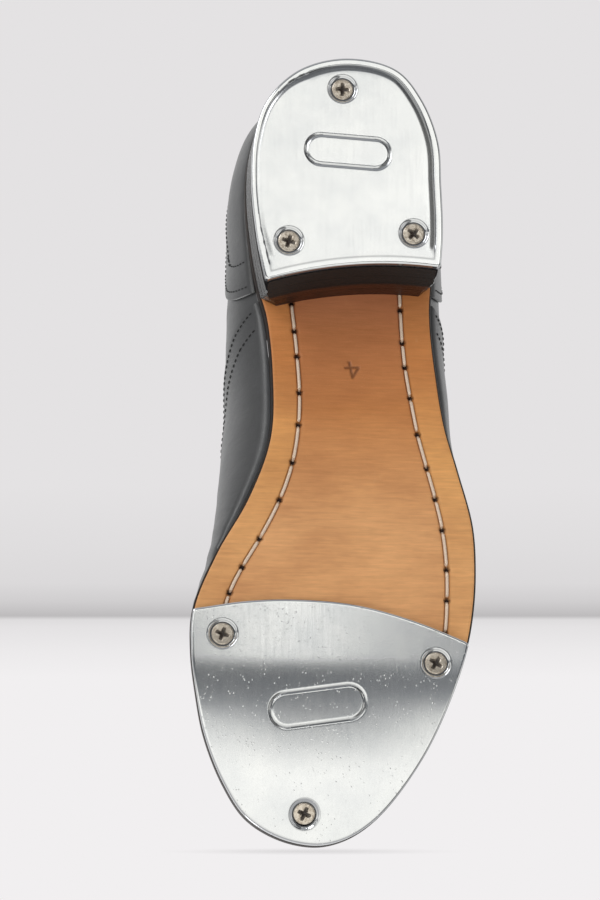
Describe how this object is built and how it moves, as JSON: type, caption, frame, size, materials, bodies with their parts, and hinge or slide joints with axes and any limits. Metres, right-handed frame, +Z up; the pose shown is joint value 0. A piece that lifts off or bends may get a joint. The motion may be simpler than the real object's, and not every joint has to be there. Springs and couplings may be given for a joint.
{
  "type": "tap shoe",
  "caption": "Black leather lace-up tap shoe for the right foot, with a stitched tan sole, a stacked heel and screwed-on metal taps under heel and toe.",
  "frame": {"origin": "on the floor under the middle of the shoe's bounding box, the shoe standing on its taps", "axes": "+Z up, toe towards -Y, heel towards +Y, medial (big toe) side towards +X"},
  "size_m": [0.0877, 0.2511, 0.0972],
  "materials": {
    "sole_leather": "matte, finely wrinkled tan leather",
    "heel_stack": "edge-inked stacked leather, brown on the breast",
    "heel_rubber": "matte black",
    "tap_metal": "brushed with a polished rim",
    "screw_nickel": "worn nickel",
    "shank_steel": "plain",
    "cork": "granular filler",
    "fibre_board": "pressed fibre",
    "lining_leather": "natural, matte",
    "upper_leather": "smooth black, satin sheen",
    "eyelet_metal": "black lacquer",
    "lace_cotton": "waxed round cotton"
  },
  "bodies": {
    "shoe": {"outsole": "sole_leather", "heel_lift_1": "heel_stack", "heel_lift_2": "heel_stack", "heel_lift_3": "heel_stack", "heel_top_piece": "heel_rubber", "heel_tap": "tap_metal", "toe_tap": "tap_metal", "forefoot_filler": "cork", "shank": "shank_steel", "insole_board": "fibre_board", "sock_lining": "lining_leather", "quarter_medial": "upper_leather", "quarter_lateral": "upper_leather", "vamp": "upper_leather", "toe_cap": "upper_leather", "heel_counter": "upper_leather", "collar_binding": "upper_leather", "quarter_lining_medial": "lining_leather", "quarter_lining_lateral": "lining_leather", "vamp_lining": "lining_leather", "toe_puff": "fibre_board", "heel_stiffener": "fibre_board", "lace": "lace_cotton", "heel_tap_screw_1": "screw_nickel", "toe_tap_screw_1": "screw_nickel", "heel_tap_screw_2": "screw_nickel", "toe_tap_screw_2": "screw_nickel", "heel_tap_screw_3": "screw_nickel", "toe_tap_screw_3": "screw_nickel", "eyelet_medial_1": "eyelet_metal", "eyelet_medial_2": "eyelet_metal", "eyelet_medial_3": "eyelet_metal", "eyelet_medial_4": "eyelet_metal", "eyelet_medial_5": "eyelet_metal", "eyelet_lateral_1": "eyelet_metal", "eyelet_lateral_2": "eyelet_metal", "eyelet_lateral_3": "eyelet_metal", "eyelet_lateral_4": "eyelet_metal", "eyelet_lateral_5": "eyelet_metal"},
    "tongue_flap": {"tongue": "upper_leather"}
  },
  "joints": [
    {"name": "tongue_flex", "type": "hinge", "parent": "shoe", "child": "tongue_flap", "pos_m": [0.0028, -0.0454, 0.0465], "axis": [-1, 0, 0], "range_deg": [0, 12], "stiffness_Nm_per_rad": 0.3, "springref_deg": -3.44}
  ]
}
